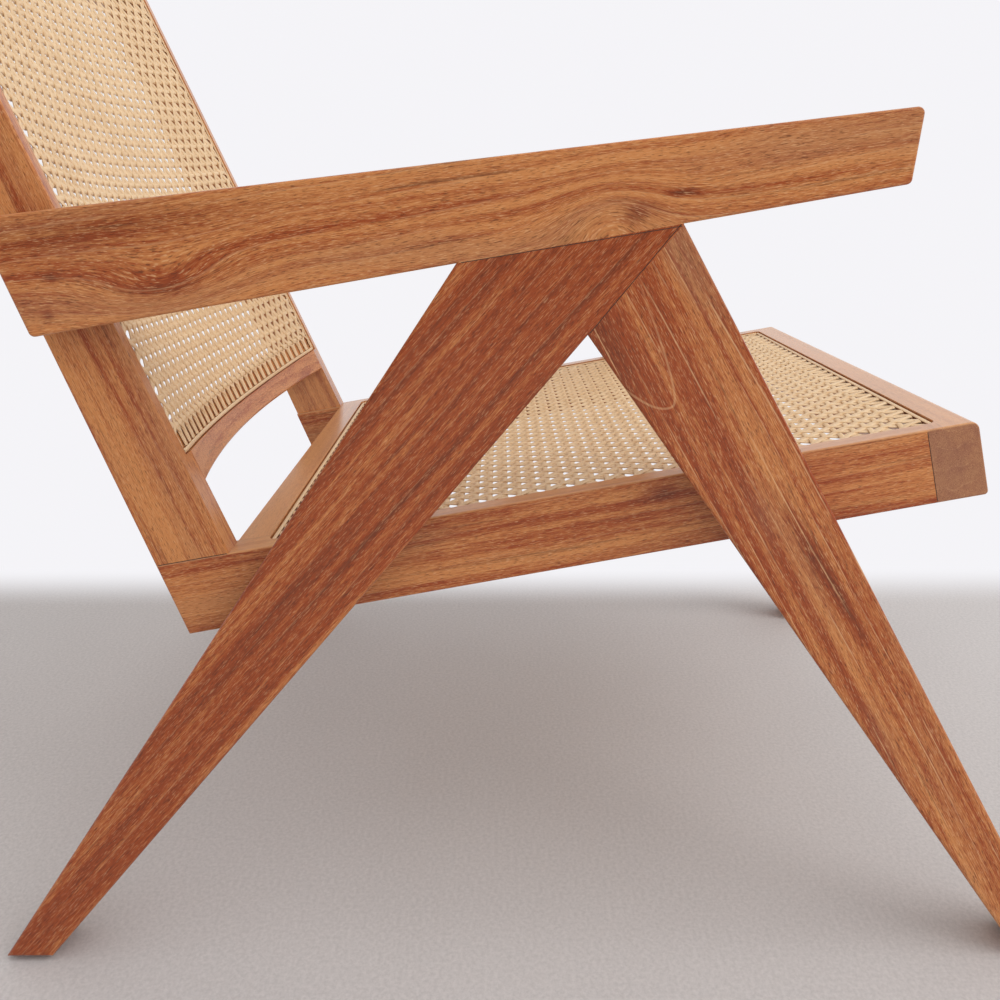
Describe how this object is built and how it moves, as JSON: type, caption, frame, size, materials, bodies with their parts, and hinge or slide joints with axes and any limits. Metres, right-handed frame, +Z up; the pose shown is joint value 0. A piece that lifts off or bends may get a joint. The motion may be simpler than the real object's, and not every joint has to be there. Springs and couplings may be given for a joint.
{
  "type": "lounge chair",
  "caption": "Low easy chair: flat side frames of splayed tapered legs and plank arms, a tilted seat and a raked, bowed back in woven cane.",
  "frame": {"origin": "on the floor, under the middle of the chair's overall box", "axes": "+Z up, X across the width with the sitter's left at +X, the chair faces -Y"},
  "size_m": [0.572, 0.8436, 0.78],
  "materials": {
    "teak": "oiled, satin",
    "cane": "natural, satin",
    "dowel_wood": "raw",
    "glide": "matte, dark"
  },
  "bodies": {
    "root": {"arm_left": "teak", "arm_right": "teak", "rear_leg_left": "teak", "rear_leg_right": "teak", "front_leg_left": "teak", "front_leg_right": "teak", "seat_side_rail_left": "teak", "seat_side_rail_right": "teak", "seat_front_rail": "teak", "seat_rear_rail": "teak", "back_stile_left": "teak", "back_stile_right": "teak", "back_top_rail": "teak", "back_bottom_rail": "teak", "arm_tenons": "dowel_wood", "leg_tenons": "dowel_wood", "front_rail_tenons": "dowel_wood", "rear_rail_tenons": "dowel_wood", "back_rail_tenons": "dowel_wood", "side_rail_tenons": "dowel_wood", "arm_dowels": "dowel_wood", "glide_rear_left": "glide", "glide_rear_right": "glide", "glide_front_left": "glide", "glide_front_right": "glide", "seat_cane": "cane", "back_cane": "cane"}
  },
  "joints": []
}
